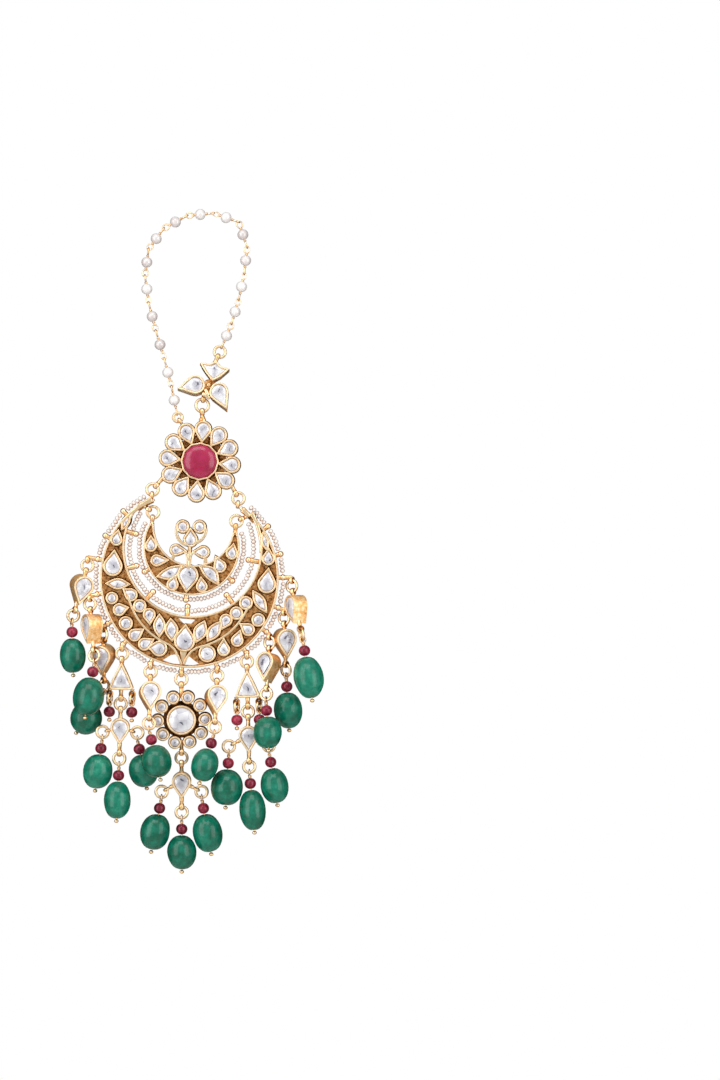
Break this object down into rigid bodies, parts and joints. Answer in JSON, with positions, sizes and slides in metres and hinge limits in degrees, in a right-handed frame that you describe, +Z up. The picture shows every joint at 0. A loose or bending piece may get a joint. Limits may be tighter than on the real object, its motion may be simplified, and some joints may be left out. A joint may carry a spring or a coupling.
{
  "type": "chandbali earring with ear chain",
  "caption": "Gold chandbali earring: kundan flower stud with a ruby, two hanging crescents, emerald bead fringe and a pearl ear chain.",
  "frame": {"origin": "middle of the flower stud's back, where it lies against the ear lobe and the ear post starts", "axes": "+Z up, +X to the right seen from the front, and the face looks along -Y, so the ear post runs along +Y"},
  "size_m": [0.0661, 0.0216, 0.1663],
  "materials": {
    "gold": "satin",
    "clear_stone": "gloss",
    "ruby": "gloss",
    "green_stone": "gloss",
    "pearl": "gloss",
    "red_stone": "gloss"
  },
  "bodies": {
    "stud": {"flower_setting": "gold", "flower_stones": "clear_stone", "ruby": "ruby", "crest_setting": "gold", "crest_stones": "clear_stone", "crest_rings": "gold", "hinge_ring_left": "gold", "hinge_ring_right": "gold", "chain_pearls": "pearl", "chain_links": "gold"},
    "main_drop": {"outer_crescent": "gold", "small_rings": "gold", "fringe_top_rings": "gold", "fringe_low_rings": "gold", "centre_flower_setting": "gold", "centre_pear_setting": "gold", "head_pins": "gold", "drop_setting_1": "gold", "drop_setting_2": "gold", "drop_setting_3": "gold", "drop_setting_4": "gold", "drop_setting_5": "gold", "drop_setting_6": "gold", "drop_setting_7": "gold", "drop_setting_8": "gold", "triangle_setting_1": "gold", "pear_setting_1": "gold", "triangle_setting_2": "gold", "pear_setting_2": "gold", "outer_stones": "clear_stone", "drop_stones": "clear_stone", "triangle_stones": "clear_stone", "pear_stones": "clear_stone", "centre_flower_stone": "clear_stone", "centre_petal_stones": "clear_stone", "rim_pearl_string": "pearl", "bay_pearl_string": "pearl", "green_bead_1": "green_stone", "green_bead_2": "green_stone", "green_bead_3": "green_stone", "green_bead_4": "green_stone", "green_bead_5": "green_stone", "green_bead_6": "green_stone", "green_bead_7": "green_stone", "green_bead_8": "green_stone", "green_bead_9": "green_stone", "green_bead_10": "green_stone", "green_bead_11": "green_stone", "green_bead_12": "green_stone", "green_bead_13": "green_stone", "green_bead_14": "green_stone", "green_bead_15": "green_stone", "green_bead_16": "green_stone", "green_bead_17": "green_stone", "red_beads": "red_stone"},
    "small_drop": {"small_crescent": "gold", "small_stones": "clear_stone", "small_pearl_string": "pearl"}
  },
  "joints": [
    {"name": "crescent_swing", "type": "hinge", "parent": "stud", "child": "main_drop", "pos_m": [-0.00055, -0.0015, -0.00966], "axis": [0.9945, 0, -0.1045], "range_deg": [-75, 75]},
    {"name": "small_crescent_swing", "type": "hinge", "parent": "main_drop", "child": "small_drop", "pos_m": [-0.00114, -0.0015, -0.01528], "axis": [0.9945, 0, -0.1045], "range_deg": [-60, 60]}
  ]
}
